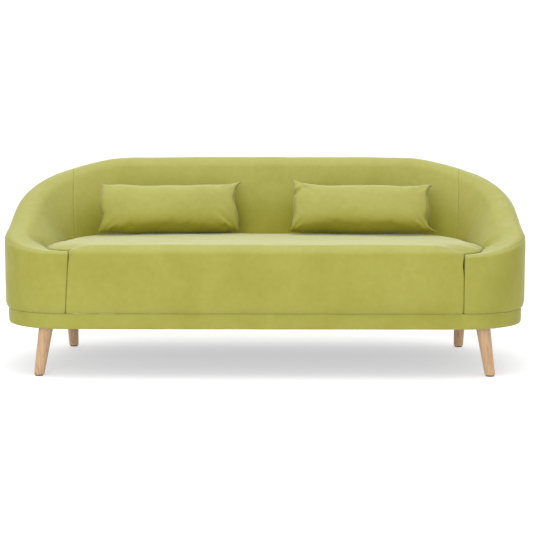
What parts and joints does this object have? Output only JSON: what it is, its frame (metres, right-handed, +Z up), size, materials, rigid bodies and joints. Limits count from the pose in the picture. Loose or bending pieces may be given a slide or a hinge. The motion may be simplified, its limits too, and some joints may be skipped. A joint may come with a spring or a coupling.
{
  "type": "sofa with wooden legs",
  "caption": "Low curved-back sofa upholstered in lime green velvet, its arms sweeping down to the seat front, with loose lumbar cushions and tapered wooden legs.",
  "frame": {"origin": "on the floor, under the middle of the sofa's plan", "axes": "+X to the right of someone facing the sofa's front, +Y towards the back, +Z up"},
  "size_m": [1.8, 0.8, 0.72],
  "materials": {
    "dust_cloth": "black non-woven cloth",
    "felt": "needled felt",
    "fibreboard": "thin fibreboard, unfinished",
    "foam": "cut polyurethane foam",
    "nylon": "moulded",
    "oak": "clear matt lacquer on light oak",
    "pine": "sawn softwood, unfinished",
    "ply": "plywood, unfinished",
    "spring_steel": "oiled spring wire",
    "steel": "zinc plated",
    "velvet": "short-pile velvet, lime green",
    "wadding": "soft polyester fleece"
  },
  "bodies": {
    "sofa": {"arm_foam_left": "foam", "arm_foam_right": "foam", "arm_front_foam_left": "foam", "arm_front_foam_right": "foam", "arm_front_post_left": "ply", "arm_front_post_right": "ply", "arm_outer_board_left": "fibreboard", "arm_outer_board_right": "fibreboard", "arm_rear_post_left": "ply", "arm_rear_post_right": "ply", "arm_top_rail_left": "ply", "arm_top_rail_right": "ply", "arm_wadding_left": "wadding", "arm_wadding_right": "wadding", "back_foam": "foam", "back_outer_board": "fibreboard", "back_posts": "ply", "back_top_rail": "ply", "back_wadding": "wadding", "base_cross_rails": "pine", "base_end_plate_left": "ply", "base_end_plate_right": "ply", "base_long_rails": "pine", "base_rim_left": "ply", "base_rim_right": "ply", "corner_blocks": "pine", "corner_post_left": "ply", "corner_post_right": "ply", "dust_cover": "dust_cloth", "hanger_bolts": "steel", "inner_arm_cover_left": "velvet", "inner_arm_cover_right": "velvet", "inner_back_cover": "velvet", "leg_front_left": "oak", "leg_front_right": "oak", "leg_glides": "nylon", "leg_plates": "steel", "leg_rear_left": "oak", "leg_rear_right": "oak", "outer_arm_cover_left": "velvet", "outer_arm_cover_right": "velvet", "outer_back_cover": "velvet", "plate_screws": "steel", "plinth_front_band": "velvet", "plinth_rear_band": "velvet", "seat_cover": "velvet", "seat_felt": "felt", "seat_foam": "foam", "seat_front_pad": "foam", "seat_front_rail": "pine", "seat_rear_rail": "pine", "seat_side_rail_left": "pine", "seat_side_rail_right": "pine", "seat_springs": "spring_steel", "seat_wadding": "wadding", "spring_clips": "nylon"},
    "pillow_left": {"pillow_left_cover": "velvet", "pillow_left_fill": "wadding"},
    "pillow_right": {"pillow_right_cover": "velvet", "pillow_right_fill": "wadding"}
  },
  "joints": [
    {"name": "pillow_left_lift", "type": "slide", "parent": "sofa", "child": "pillow_left", "axis": [0, 0, 1], "range_m": [0, 0.35]},
    {"name": "pillow_right_lift", "type": "slide", "parent": "sofa", "child": "pillow_right", "axis": [0, 0, 1], "range_m": [0, 0.35]}
  ]
}
